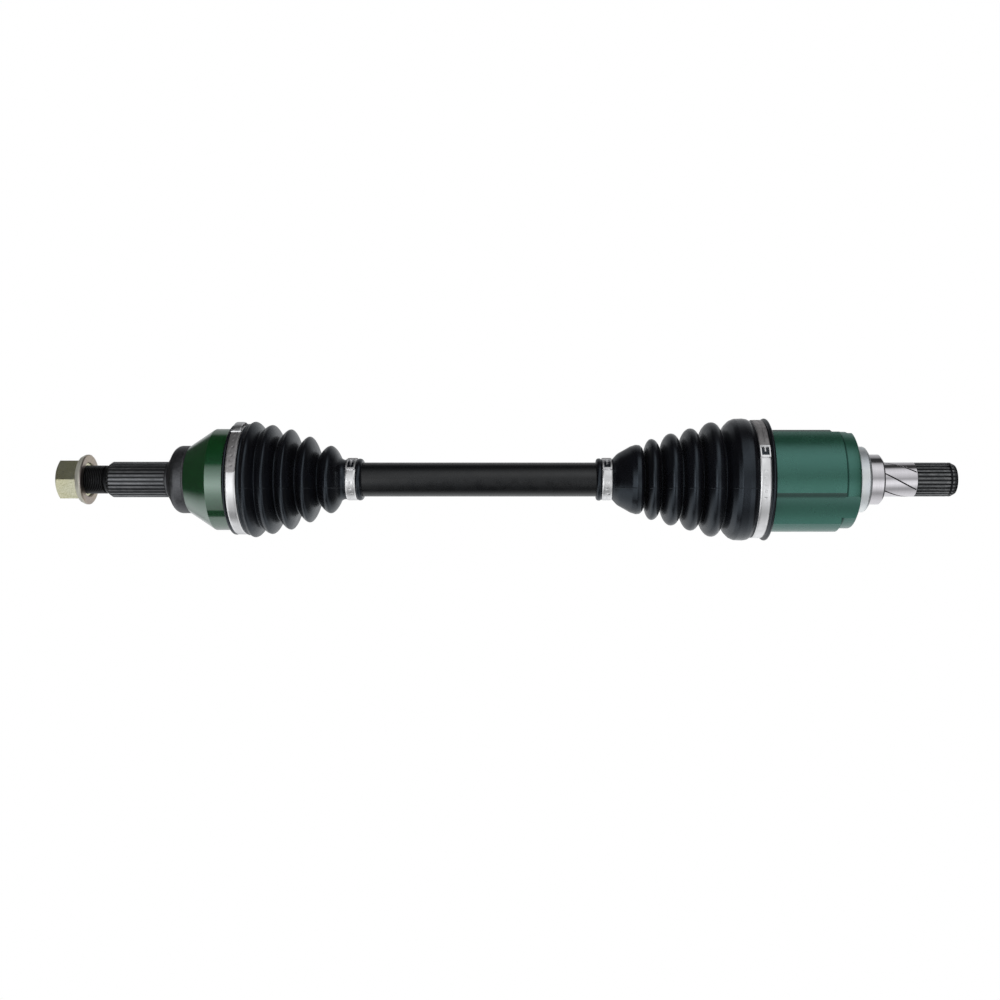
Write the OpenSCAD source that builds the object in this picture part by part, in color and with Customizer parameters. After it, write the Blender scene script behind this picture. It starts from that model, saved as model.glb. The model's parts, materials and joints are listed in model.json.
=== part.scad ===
// Front drive axle: fixed ball joint outboard, plunging tripod joint inboard.
// The axle lies along X. X = 0 is the shoulder of the ground journal on the
// inboard stub, +X runs inboard out of the stub, +Z is up.

/* [Stub ends] */
// outside radius of the outboard thread
thread_r = 12; // [11.8:0.1:12.2]
// thread pitch
thread_pitch = 1.5; // [1.5:0.25:2]
// outside radius of the wheel hub spline
hub_spline_r = 15.1; // [14.9:0.1:15.4]
// teeth on the wheel hub spline
hub_teeth = 28; // [26:1:30]
// radius of the ground journal on the inboard stub
journal_r = 14.65; // [14.5:0.05:14.8]
// length of the ground journal
journal_len = 28.5; // [27:0.5:30]
// outside radius of the inboard spline
diff_spline_r = 14.45; // [14.2:0.05:14.5]
// teeth on the inboard spline
diff_teeth = 27; // [25:1:29]
// radius of the oil seal land
seal_r = 21.4; // [20.5:0.1:21.7]

/* [Hub nut] */
// width across the flats of the hub nut
nut_af = 32; // [31:0.5:33]
// radius of the captive washer
washer_r = 21.2; // [20.5:0.1:22]

/* [Outboard joint] */
// outside radius of the outboard bell
bell_r = 43; // [42.5:0.1:44]
// radius of each steel ball
ball_r = 8.3; // [8.1:0.05:8.4]
// radius of the circle the ball centres lie on
ball_pitch_r = 30; // [29.8:0.1:30.2]

/* [Axle shaft] */
// radius of the plain middle of the shaft
shaft_r = 14.5; // [14:0.1:14.5]

/* [Inboard joint] */
// outside radius of the three lobes of the housing
tulip_r = 44.5; // [44.3:0.1:45]
// radius of the roller tread, a slice of a sphere
roller_r = 15.1; // [15:0.1:15.2]
// distance from the axle centre line to a roller centre
roller_pitch_r = 24.3; // [24.2:0.1:24.5]

/* [Boots] */
// rubber wall thickness, measured along the radius
boot_wall = 2.6; // [2.2:0.1:2.8]
// thickness of the clamp band steel
band_t = 0.8; // [0.6:0.1:0.9]

/* [Hidden] */
$fn = 96;
gap = 0.1;                       // clearance between touching pieces
ball_x = -551;                   // centre of the outboard joint
tri_x = -82;                     // centre of the inboard joint
cage_in = 27;
cage_out = 32;
track_r = ball_r + gap;
track_slack = 1.8;               // sideways play the balls need at full angle
window_half = 9.9;               // half length of a cage window round the cage
lobe_angles = [25, 145, 265];    // elevation of each lobe, from -Y towards +Z
trunnion_r = 10;
needle_r = 1.2;
needle_count = 24;
needle_pitch_r = trunnion_r + needle_r + 0.08;
roller_bore = needle_pitch_r + needle_r + 0.08;
roller_half = 6.5;
channel_r = 16.25;
stub_end = 63.5;
clip_x = 57.4;                   // middle of the ring groove in the inboard spline
spline_from = journal_len + 0.4;
shaft_spline_r = 11.2;

// ---------- shared shapes ----------

// solid of revolution about X from a list of [x, radius]
module rev(points) {
    rotate([0, 90, 0])
        rotate_extrude()
            polygon([for (p = points) [p[1], p[0]]]);
}

// part of a revolution about X, from elevation hi down to elevation lo
module rev_arc(points, hi, lo) {
    rotate([0, 90, 0])
        rotate([0, 0, -90 - hi])
            rotate_extrude(angle = hi - lo)
                polygon([for (p = points) [p[1], p[0]]]);
}

// ring about X with a square section
module ring(x0, x1, r_in, r_out) {
    rev([[x0, r_in], [x1, r_in], [x1, r_out], [x0, r_out]]);
}

// cylinder along X
module rod(x0, x1, r) {
    translate([x0, 0, 0])
        rotate([0, 90, 0])
            cylinder(h = x1 - x0, r = r);
}

// turns a child whose outward direction is +Z to an elevation about X
module elev(e) {
    rotate([90 - e, 0, 0])
        children();
}

// extrudes a flat shape along X; the shape's x axis becomes -Z, its y axis Y
module along_x(x0, x1) {
    translate([x0, 0, 0])
        rotate([0, 90, 0])
            linear_extrude(height = x1 - x0)
                children();
}

// toothed section: tips are arcs of the outside circle
module spline_2d(r_root, r_tip, teeth, tip_share = 0.47, root_share = 0.72) {
    step = 360 / teeth;
    far = r_tip * 1.03;
    intersection() {
        circle(r = r_tip);
        polygon([for (i = [0:teeth - 1])
                    for (c = [[-root_share / 2, r_root], [-tip_share / 2, far],
                              [tip_share / 2, far], [root_share / 2, r_root]])
                        c[1] * [cos((i + c[0]) * step), sin((i + c[0]) * step)]]);
    }
}

// eased curve through a list of [x, radius]
function eased(p, n = 6) = [
    for (i = [0:len(p) - 2])
        for (k = [0:n - 1])
            let (t = k / n, s = (1 - cos(180 * t)) / 2)
                [p[i][0] + (p[i + 1][0] - p[i][0]) * t,
                 p[i][1] + (p[i + 1][1] - p[i][1]) * s],
    p[len(p) - 1]
];

function reversed(p) = [for (i = [len(p) - 1:-1:0]) p[i]];

// ---------- outboard joint ----------

thread_from = -692.5;
thread_to = -657.5;
hub_from = -653.6;
hub_to = -604.2;

function thread_profile() = [
    for (i = [0:floor((thread_to - thread_from - 2) / thread_pitch)])
        let (x = thread_from + 1.2 + i * thread_pitch)
            for (q = [[0.1, 0], [0.7 * thread_pitch - 0.3, -0.85], [0.9 * thread_pitch, 0]])
                [x + q[0], thread_r + q[1]]
];

module outboard_stub() {
    rev(concat([[thread_from, 0], [thread_from, thread_r - 1.1]],
               thread_profile(),
               [[thread_to, thread_r - 0.9], [hub_from, thread_r + 0.4],
                [hub_from + 2.6, 13.9], [hub_to, 13.9],
                [hub_to + 0.3, 14.9], [-602, 15.2], [-600.9, 15.9],
                [-600.9, 18.9], [-599.8, 20.3], [-599.1, 21.7], [-598.3, 23.3],
                [-597.4, 24.9], [-596.4, 26.3], [-595.2, 27.4], [-593.7, 28.3],
                [-592, 28.7], [-586, 28.7], [-585.5, 28.4], [-584.7, 28.4],
                [-584.1, 28.8], [-563.2, 42.5], [-562.3, bell_r],
                [-548.5, bell_r], [-548, bell_r - 0.6], [-543.2, bell_r - 0.6],
                [-543, bell_r - 1.6], [-540.2, bell_r - 1.6],
                [-540, bell_r - 0.6], [-534, bell_r - 0.6],
                [-533, bell_r - 1.6], [-533, 0]]));
    intersection() {
        along_x(hub_from, hub_to)
            spline_2d(13.4, hub_spline_r, hub_teeth);
        rev([[hub_from, 0], [hub_from, 13.2], [hub_from + 3, hub_spline_r + 0.2],
             [hub_to, hub_spline_r + 0.2], [hub_to, 0]]);
    }
}

// one curved ball track, swept about the joint centre in the plane of X and +Z
module ball_track(from, to) {
    translate([ball_x, 0, 0])
        rotate([90, 0, 0])
            rotate([0, 0, from])
                rotate_extrude(angle = to - from)
                    translate([ball_pitch_r, 0]) {
                        square([2 * track_r, 2 * track_slack], center = true);
                        for (s = [-1, 1])
                            translate([0, s * track_slack])
                                circle(r = track_r);
                    }
}

module outer_race() {
    color([0.06, 0.24, 0.12])
    difference() {
        outboard_stub();
        translate([ball_x, 0, 0])
            sphere(r = cage_out + gap);
        rev([[ball_x + 11, 0], [ball_x + 11, 28.5], [ball_x + 18.1, 35.3],
             [ball_x + 19, 35.3], [ball_x + 19, 0]]);
        for (i = [0:5])
            elev(60 * i)
                ball_track(20, 131);
    }
}

module inner_race() {
    color([0.62, 0.63, 0.65])
    difference() {
        intersection() {
            translate([ball_x, 0, 0])
                sphere(r = cage_in - gap);
            rod(ball_x - 11, ball_x + 11, 40);
        }
        for (i = [0:5])
            elev(60 * i)
                ball_track(40, 140);
        along_x(ball_x - 12, ball_x + 12)
            spline_2d(10.35, shaft_spline_r + gap, 24, 0.54, 0.8);
    }
}

// cage window: a rectangle with cut corners
module window_2d(a, b, cut) {
    polygon([for (s = [[1, 1], [-1, 1], [-1, -1], [1, -1]])
                for (k = (s[0] * s[1] > 0) ? [0, 1] : [1, 0])
                    [s[0] * (a - cut * k), s[1] * (b - cut * (1 - k))]]);
}

module ball_cage() {
    color([0.5, 0.51, 0.53])
    difference() {
        translate([ball_x, 0, 0])
            rotate([0, 90, 0])
                rotate_extrude()
                    intersection() {
                        difference() {
                            circle(r = cage_out);
                            circle(r = cage_in);
                        }
                        translate([0, -13])
                            square([40, 26]);
                    }
        for (i = [0:5])
            elev(60 * i)
                translate([ball_x, 0, 20])
                    linear_extrude(height = 20)
                        window_2d(track_r, window_half, 2);
    }
}

module joint_ball(i) {
    color([0.8, 0.81, 0.83])
    elev(180 + 60 * (i - 1))
        translate([ball_x, 0, ball_pitch_r])
            sphere(r = ball_r);
}

// split ring about X, open at the top
module split_ring(x0, x1, r_in, r_out, open = 14) {
    rev_arc([[x0, r_in], [x1, r_in], [x1, r_out], [x0, r_out]],
            90 - open, open - 270);
}

module race_snap_ring() {
    color([0.3, 0.3, 0.32])
    split_ring(ball_x - 12.6, ball_x - 11.1, 9.4, 12.2);
}

module race_stop_ring() {
    color([0.3, 0.3, 0.32])
    split_ring(ball_x + 11.1, ball_x + 12.6, 9.4, 12.8);
}

// ---------- hub nut ----------

nut_from = -694.9;
hex_to = -677.8;

module hub_nut() {
    color([0.78, 0.72, 0.42])
    difference() {
        union() {
            intersection() {
                along_x(nut_from, hex_to)
                    rotate(30)
                        circle(r = nut_af / sqrt(3), $fn = 6);
                rev([[nut_from, 0], [nut_from, nut_af / 2 - 0.4],
                     [nut_from + 1.7, nut_af / sqrt(3) + 0.1],
                     [hex_to - 0.6, nut_af / sqrt(3) + 0.1],
                     [hex_to, nut_af / sqrt(3) - 0.5], [hex_to, 0]]);
            }
            rod(hex_to - 1, -673.4, 13.4);
            ring(-675, -673.4, 12.5, 14);
        }
        rod(nut_from - 1, -672, thread_r + 0.06);
        rev([[nut_from - 1, 0], [nut_from - 1, thread_r + 2.1],
             [nut_from + 1.1, thread_r], [nut_from + 1.1, 0]]);
    }
}

module hub_nut_washer() {
    color([0.75, 0.68, 0.62])
    rev([[-677.6, 13.7], [-677.6, 18.4], [-676.7, 19.8], [-674.5, 20.9],
         [-673.6, washer_r], [-672.2, washer_r], [-671.6, washer_r - 0.6],
         [-671.6, 15.2], [-672.3, 14.4], [-675.4, 14.4], [-675.4, 13.7]]);
}

// ---------- axle shaft ----------

boot_seat_depth = 0.6;

// point on the shaft's rounded end, a sphere about the tripod joint's centre
function dome_point(t) = [tri_x + 20 * cos(t), 20 * sin(t)];

module axle_shaft() {
    color([0.05, 0.05, 0.06])
    union() {
        rev(concat([[ball_x - 14.5, 0], [ball_x - 14.5, 9.4], [ball_x - 13.7, 10.2],
             [ball_x - 12.7, 10.2], [ball_x - 12.7, 9.3], [ball_x - 11, 9.3],
             [ball_x - 11, 10.2], [ball_x + 11, 10.2], [ball_x + 11, 9.3],
             [ball_x + 12.7, 9.3], [ball_x + 12.7, 11.2], [ball_x + 38.5, 11.2],
             [ball_x + 44.5, shaft_r], [-449.5, shaft_r],
             [-449.3, shaft_r - boot_seat_depth], [-447.7, shaft_r - boot_seat_depth],
             [-447.5, shaft_r], [-237.5, shaft_r],
             [-237.3, shaft_r - boot_seat_depth], [-235.7, shaft_r - boot_seat_depth],
             [-235.5, shaft_r], [tri_x - 84, shaft_r], [tri_x - 78, 12],
             [tri_x - 13.5, 12], [tri_x - 13.2, 12.6], [tri_x - 11.1, 12.6],
             [tri_x - 11.1, 10.2], [tri_x + 11, 10.2], [tri_x + 11, 9.3],
             [tri_x + 12.7, 9.3], [tri_x + 12.7, 10.2], [tri_x + 14.5, 10.2],
             [tri_x + 15.5, 8.6]],
             [for (t = [25.4:-2.54:0.5]) dome_point(t)],
             [[tri_x + 20, 0]]));
        for (x = [ball_x, tri_x])
            along_x(x - 11, x + 11)
                spline_2d(10, shaft_spline_r, 24);
    }
}

// ---------- boots and clamps ----------

outer_curve = eased([[-531.4, 49.1], [-522.4, 42.5], [-516.8, 46.3],
                     [-508, 36.5], [-501.1, 42.5], [-492.6, 29],
                     [-484.5, 36.4], [-476.3, 21.5], [-466.2, 28.5],
                     [-456.8, 17.9]]);
inner_curve = eased([[-225.5, 17.8], [-222.5, 21.8], [-208.5, 29.2],
                     [-201.5, 20.5], [-195.5, 34.5], [-186.5, 23.5],
                     [-178.5, 39.1], [-170.5, 29], [-162.3, 43.4],
                     [-154.6, 34], [-144.5, 48.6], [-135, 40.5],
                     [-126.5, 51.6]]);

function grown(p, d) = [for (q = p) [q[0], q[1] + d]];

module outer_boot() {
    color([0.06, 0.06, 0.07])
    rev(concat([[-547.8, 42.5], [-547.8, 45.6], [-547.3, 46.7], [-546.2, 47.1],
                [-545.1, 46.8], [-544.6, 45.7], [-536.2, 45.7], [-535.6, 47.3],
                [-534.5, 47.5], [-533.6, 46.6]],
               outer_curve,
               [[-454.6, 16.7], [-444.4, 16.7], [-443.9, 17.7],
                [-440.6, 17.4], [-440, 14.6], [-456, 14.6]],
               reversed(grown([for (q = outer_curve) if (q[0] < -457.5) q], -boot_wall)),
               [[-532.8, 44], [-532.9, 42.5]]));
}

module inner_boot() {
    color([0.06, 0.06, 0.07])
    rev(concat([[-241, 14.6], [-240.6, 17.6], [-237.2, 17.9], [-236.6, 16.7],
                [-227.4, 16.7], [-226.9, 17.6]],
               inner_curve,
               [[-116.5, 51.9], [-113.6, 51.2], [-112.2, 48.9],
                [-102.2, 48.9], [-101.6, 51.2], [-100.6, 52],
                [-99.6, 51.6], [-98.8, 49.6], [-98.4, 46.2], [-116.4, 46.2]],
               reversed(grown([for (q = inner_curve) if (q[0] > -224 && q[0] < -127) q],
                              -boot_wall)),
               [[-224.5, 14.6]]));
}

// low profile band: a ring, an overlapping tail and a raised buckle with a window
module band_clamp(x0, x1, r, hi, lo, buckle) {
    mid = (x0 + x1) / 2;
    top = r + 2 * band_t;
    difference() {
        union() {
            ring(x0, x1, r, r + band_t);
            rev_arc([[x0 + 1.2, r + band_t - 0.2], [x1 - 1.2, r + band_t - 0.2],
                     [x1 - 1.2, top], [x0 + 1.2, top]], hi, lo);
            rev_arc([[x0 + 0.4, r + band_t - 0.2], [x1 - 0.4, r + band_t - 0.2],
                     [x1 - 0.4, top + 0.7], [x0 + 0.4, top + 0.7]],
                    buckle[0], buckle[1]);
        }
        elev((buckle[0] + buckle[1]) / 2)
            translate([mid, 0, r + band_t + 0.1])
                cylinder(h = 6, r = 0.22 * (x1 - x0));
    }
}

module outer_boot_clamp_large() {
    color([0.8, 0.8, 0.82])
    band_clamp(-544.5, -536.4, 45.8, 76, 7, [68, 57]);
}

module outer_boot_clamp_small() {
    color([0.8, 0.8, 0.82])
    band_clamp(-453.2, -444.8, 16.8, 120, 20, [68, 30]);
}

module inner_boot_clamp_large() {
    color([0.8, 0.8, 0.82])
    band_clamp(-111.4, -102.6, 49, 92, 20, [33, 21]);
}

module inner_boot_clamp_small() {
    color([0.8, 0.8, 0.82])
    band_clamp(-236.2, -227.8, 16.8, 120, 20, [68, 30]);
}

module inner_boot_insert() {
    color([0.09, 0.09, 0.1])
    difference() {
        along_x(-116, -99.2)
            circle(r = 46.1);
        along_x(-117, -94)
            tulip_2d(tulip_r + gap, 45.9);
    }
}

// ---------- inboard joint ----------

valley_far = 84.8;

// three lobed section; each valley is a shallow arc between two lobes
module tulip_2d(r, valley_r) {
    difference() {
        circle(r = r);
        for (e = lobe_angles)
            rotate(-e - 150)
                translate([valley_far, 0])
                    circle(r = valley_r);
    }
}

module tulip_body() {
    intersection() {
        along_x(-118, -10)
            tulip_2d(tulip_r + 1, 46);
        rev([[-117, 0], [-117, tulip_r - 1], [-116, tulip_r],
             [-38.6, tulip_r], [-37.6, 41.6], [-27.6, 41.6], [-26.6, 41.2],
             [-25.8, 40.1], [-24.6, 37.6], [-24, 34], [-24, 0]]);
    }
}

// one roller channel: round outside, parallel sides, open towards the centre
module roller_channel() {
    translate([-119, 0, 0])
        rotate([0, 90, 0])
            linear_extrude(height = 81.4)
                translate([-roller_pitch_r, 0]) {
                    circle(r = channel_r);
                    translate([0, -channel_r])
                        square([roller_pitch_r, 2 * channel_r]);
                }
}

// slanting oil groove, cut as a chain of short round cutters
module oil_groove(e) {
    steps = 6;
    twist = 56;
    from = 0.9;
    dx = (journal_len - 0.6 - from) / steps;
    for (i = [0:steps - 1])
        let (a = e - i * twist / steps, b = e - (i + 1) * twist / steps,
             p = [from + i * dx, -journal_r * cos(a), journal_r * sin(a)],
             q = [from + (i + 1) * dx, -journal_r * cos(b), journal_r * sin(b)],
             d = q - p, m = (p + q) / 2, l = norm(d) + 0.25)
            translate(m)
                rotate([0, acos(d[2] / norm(d)), atan2(d[1], d[0])])
                    cylinder(h = l, r = 0.55, center = true, $fn = 24);
}

module inboard_stub() {
    difference() {
        rev([[-30, 0], [-30, 21.9], [-16.8, 21.9], [-16.6, seal_r - 0.3],
             [-11.7, seal_r - 0.3], [-11.5, seal_r], [-1.5, seal_r], [0, seal_r - 1.5],
             [0, journal_r], [journal_len, journal_r],
             [spline_from, 13.1], [clip_x - 0.9, 13.1], [clip_x - 0.9, 12.3],
             [clip_x + 0.9, 12.3], [clip_x + 0.9, 13.1], [stub_end - 2.2, 13.1],
             [stub_end, 10.6], [stub_end, 0]]);
        for (i = [0:5])
            oil_groove(21 + 60 * i);
        rev([[stub_end - 4, 0], [stub_end - 4, 0.6], [stub_end - 2, 1.2], [stub_end + 0.1, 4.2],
             [stub_end + 0.1, 0]]);
    }
}

// gearbox end spline with its ring groove and chamfered end, as a tube round the stub core
module inboard_spline() {
    difference() {
        intersection() {
            along_x(spline_from - 0.2, stub_end - 0.3)
                spline_2d(12.6, diff_spline_r, diff_teeth);
            rev([[spline_from - 0.3, 0], [spline_from - 0.3, diff_spline_r + 0.2],
                 [stub_end - 4.2, diff_spline_r + 0.2], [stub_end - 0.9, 12.9],
                 [stub_end, 12.4], [stub_end, 0]]);
        }
        ring(clip_x - 0.9, clip_x + 0.9, 12.3, 16);
        rod(spline_from - 1, stub_end + 1, 8);
    }
}

module inner_housing() {
    color([0.12, 0.36, 0.28])
    difference() {
        union() {
            tulip_body();
            inboard_stub();
            inboard_spline();
        }
        for (e = lobe_angles)
            elev(e)
                roller_channel();
        rev([[-119, 0], [-119, 36.4], [-117, 35.6], [-94.8, 26.1], [-94.8, 25.7],
             [-35.4, 25.7], [-35.4, 9.5], [-28, 9.5], [-28, 0]]);
        rev([[-111, tulip_r - 0.8], [-103.5, tulip_r - 0.8],
             [-103.3, tulip_r + 2], [-111.2, tulip_r + 2]]);
    }
}

module dust_shield() {
    color([0.8, 0.85, 0.9])
    rev([[-23.8, 22], [-23.8, 27.4], [-23.2, 28], [-15.1, 28], [-13.9, 27.4],
         [-12.5, 25.4], [-11.9, 22.8], [-11.9, seal_r + 0.05], [-13.3, seal_r + 0.05],
         [-13.3, 22.6], [-13.9, 24.6], [-15.1, 26.6], [-22.2, 26.6],
         [-22.6, 26.2], [-22.6, 22]]);
}

module stub_circlip() {
    color([0.12, 0.12, 0.13])
    split_ring(clip_x - 0.75, clip_x + 0.75, 12.5, 14.35, 10);
}

module tripod_spider() {
    color([0.6, 0.61, 0.63])
    difference() {
        union() {
            rev([[tri_x - 11, 0], [tri_x - 11, 16.2], [tri_x - 10.2, 17],
                 [tri_x + 10.2, 17], [tri_x + 11, 16.2], [tri_x + 11, 0]]);
            for (e = lobe_angles)
                elev(e)
                    translate([tri_x, 0, 0]) {
                        cylinder(h = 31, r = trunnion_r);
                        cylinder(h = 32.5, r = 9);
                        translate([0, 0, 32.35])
                            cylinder(h = 0.9, r = trunnion_r - 0.2);
                        translate([0, 0, 33.2])
                            cylinder(h = 0.8, r1 = trunnion_r - 0.2, r2 = 9);
                        cylinder(h = 17.4, r = 10.9);
                    }
        }
        along_x(tri_x - 12, tri_x + 12)
            spline_2d(10.35, shaft_spline_r + gap, 24, 0.54, 0.8);
    }
}

module tripod_roller(k) {
    color([0.72, 0.73, 0.75])
    elev(lobe_angles[k - 1])
        translate([tri_x, 0, roller_pitch_r])
            difference() {
                intersection() {
                    sphere(r = roller_r);
                    cylinder(h = 2 * roller_half, r = 20, center = true);
                }
                cylinder(h = 20, r = roller_bore, center = true);
            }
}

module needle_set(k) {
    color([0.85, 0.85, 0.87])
    elev(lobe_angles[k - 1])
        translate([tri_x, 0, roller_pitch_r])
            for (i = [0:needle_count - 1])
                rotate([0, 0, i * 360 / needle_count])
                    translate([needle_pitch_r, 0, 0])
                        cylinder(h = 12.4, r = needle_r, center = true);
}

module roller_retainer(k) {
    color([0.35, 0.35, 0.37])
    elev(lobe_angles[k - 1])
        translate([tri_x, 0, 31.05])
            difference() {
                cylinder(h = 1.2, r = 12.4);
                translate([0, 0, -1])
                    cylinder(h = 4, r = 9.1);
                translate([9, -1.6, -1])
                    cube([6, 3.2, 4]);
            }
}

module spider_snap_ring() {
    color([0.3, 0.3, 0.32])
    split_ring(tri_x + 11.1, tri_x + 12.6, 9.4, 12.2);
}

module thrust_cap() {
    color([0.7, 0.71, 0.73])
    difference() {
        rod(tri_x + 17, tri_x + 22.5, 8.4);
        translate([tri_x, 0, 0])
            sphere(r = 20.15);
    }
}

spring_from = tri_x + 22.6;
spring_to = -28.1;
spring_turns = 6;
wire_r = 0.9;

// coil drawn as closed turns joined by short slanting links
module thrust_spring() {
    color([0.75, 0.76, 0.78])
    union() {
        span = spring_to - spring_from - 2 * wire_r;
        for (i = [0:spring_turns])
            translate([spring_from + wire_r + i * span / spring_turns, 0, 0])
                rotate([0, 90, 0])
                    rotate_extrude()
                        translate([6.9, 0])
                            circle(r = wire_r);
        for (i = [0:spring_turns - 1])
            elev(90 + 180 * (i % 2))
                translate([spring_from + wire_r + i * span / spring_turns, 0, 6.9])
                    rotate([0, 90, 0])
                        cylinder(h = span / spring_turns, r = wire_r);
    }
}

// ---------- one line for each node ----------

outer_race();
hub_nut();
hub_nut_washer();
inner_race();
ball_cage();
joint_ball(1);  // joint_ball_1
joint_ball(2);  // joint_ball_2
joint_ball(3);  // joint_ball_3
joint_ball(4);  // joint_ball_4
joint_ball(5);  // joint_ball_5
joint_ball(6);  // joint_ball_6
race_snap_ring();
race_stop_ring();
axle_shaft();
outer_boot();
outer_boot_clamp_large();
outer_boot_clamp_small();
inner_boot();
inner_boot_clamp_large();
inner_boot_clamp_small();
inner_boot_insert();
tripod_spider();
tripod_roller(1);  // tripod_roller_1
tripod_roller(2);  // tripod_roller_2
tripod_roller(3);  // tripod_roller_3
needle_set(1);  // needle_set_1
needle_set(2);  // needle_set_2
needle_set(3);  // needle_set_3
roller_retainer(1);  // roller_retainer_1
roller_retainer(2);  // roller_retainer_2
roller_retainer(3);  // roller_retainer_3
spider_snap_ring();
inner_housing();
dust_shield();
stub_circlip();
thrust_spring();
thrust_cap();
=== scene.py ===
"""Looks of a front drive axle: pleated rubber boots, band clamps, painted and plated steel.

The axle lies along X. An elevation is an angle about X in degrees, from -Y (towards the camera) up to +Z.
Lengths are metres, and values named in millimetres are multiplied by MM.
"""

import json
import math

import bpy
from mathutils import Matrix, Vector


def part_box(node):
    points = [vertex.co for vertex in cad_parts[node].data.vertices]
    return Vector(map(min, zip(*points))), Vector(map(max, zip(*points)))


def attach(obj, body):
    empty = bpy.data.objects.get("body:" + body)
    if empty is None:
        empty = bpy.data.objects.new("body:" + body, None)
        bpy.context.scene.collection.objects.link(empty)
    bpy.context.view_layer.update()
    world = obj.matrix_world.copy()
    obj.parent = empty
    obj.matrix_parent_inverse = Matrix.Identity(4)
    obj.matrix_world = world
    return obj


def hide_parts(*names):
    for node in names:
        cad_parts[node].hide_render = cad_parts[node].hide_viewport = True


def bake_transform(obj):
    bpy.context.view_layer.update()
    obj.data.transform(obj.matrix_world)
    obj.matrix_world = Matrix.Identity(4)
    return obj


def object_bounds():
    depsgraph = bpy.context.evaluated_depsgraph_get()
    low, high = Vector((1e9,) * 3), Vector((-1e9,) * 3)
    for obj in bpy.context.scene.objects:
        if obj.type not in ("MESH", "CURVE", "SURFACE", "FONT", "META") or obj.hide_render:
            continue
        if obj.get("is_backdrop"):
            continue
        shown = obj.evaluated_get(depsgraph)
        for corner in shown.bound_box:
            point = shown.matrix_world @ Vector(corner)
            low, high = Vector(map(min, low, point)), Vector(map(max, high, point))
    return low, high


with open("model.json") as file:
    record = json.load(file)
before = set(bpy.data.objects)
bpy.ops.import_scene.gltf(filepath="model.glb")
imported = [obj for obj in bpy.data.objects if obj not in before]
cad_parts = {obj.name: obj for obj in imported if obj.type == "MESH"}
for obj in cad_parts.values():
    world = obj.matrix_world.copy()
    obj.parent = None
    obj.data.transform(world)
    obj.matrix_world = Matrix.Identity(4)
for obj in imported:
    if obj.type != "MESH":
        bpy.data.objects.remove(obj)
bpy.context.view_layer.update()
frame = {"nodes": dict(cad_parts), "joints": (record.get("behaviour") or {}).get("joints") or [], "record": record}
MM = 0.001


# ---------- where things are ----------


def joint_centre(name):
    """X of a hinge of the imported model."""
    return next(j for j in frame["joints"] if j["name"] == name)["pos_m"][0]


def ends(node):
    """(lowest X, highest X) of a CAD node."""
    low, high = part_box(node)
    return low.x, high.x


def outside(node):
    """Half of a CAD node's width across Y."""
    low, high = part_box(node)
    return (high.y - low.y) / 2


BALL_X = joint_centre("outer_yaw")
# elevations of the housing's three lobes
LOBES = (25, 145, 265)
# borders along the two forgings
THREAD_END = BALL_X - 105.5 * MM
HUB_SPLINE_END = BALL_X - 53.3 * MM
BELL_PAINT_START = BALL_X - 33.3 * MM
LOBE_STEP = -38.6 * MM
HOUSING_PAINT_END = -22.3 * MM
JOURNAL_START = 0.0
JOURNAL_END = 28.6 * MM


# ---------- mesh code ----------


def on_axle(x, radius, elevation):
    """Point at a radius and an elevation about the axle."""
    a = math.radians(elevation)
    return (x, -radius * math.cos(a), radius * math.sin(a))


def add_object(name, vertices, faces, material, sharp=35, material_index=None):
    """Mesh object with smooth faces, and edges over `sharp` degrees left crisp."""
    mesh = bpy.data.meshes.new(name)
    mesh.from_pydata(vertices, [], faces)
    mesh.validate()
    materials = material if isinstance(material, (list, tuple)) else [material]
    for m in materials:
        mesh.materials.append(m)
    if material_index:
        mesh.polygons.foreach_set("material_index", material_index)
    mesh.shade_smooth()
    mesh.set_sharp_from_angle(angle=math.radians(sharp))
    mesh.update()
    obj = bpy.data.objects.new(name, mesh)
    bpy.context.scene.collection.objects.link(obj)
    return obj


def ring_faces(rows, around):
    """Quads of a closed outline of `rows` points repeated `around` times about the axle."""
    faces = []
    for k in range(around):
        here, there = k * rows, (k + 1) % around * rows
        for i in range(rows):
            j = (i + 1) % rows
            faces.append((here + i, here + j, there + j, there + i))
    return faces


def lathe(name, outline, normals, material, around=120, sharp=50):
    """Closed solid of revolution about X from a closed outline of (x, radius): outside towards +X, then back.
    normals has an (x, radial) normal for each point of the outline."""
    rows = len(outline)
    vertices = [on_axle(x, r, 360 * k / around) for k in range(around) for x, r in outline]
    obj = add_object(name, vertices, ring_faces(rows, around), material, sharp)
    shade_by_profile(obj.data, rows, around, normals)
    return obj


def shade_by_profile(mesh, rows, around, normals):
    """Sets the shading normals of a lathed mesh, so that two stretches of one boot meet without a seam.
    The two rows of faces that close the ends stay flat."""
    shading = []
    for face in mesh.polygons:
        row = face.index % rows
        for v in face.vertices:
            normal = normals[v % rows]
            if row in (rows // 2 - 1, rows - 1):
                shading.append(face.normal.copy())
            else:
                shading.append(Vector(on_axle(normal[0], normal[1], 360 * (v // rows) / around)))
    mesh.normals_split_custom_set(shading)


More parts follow.
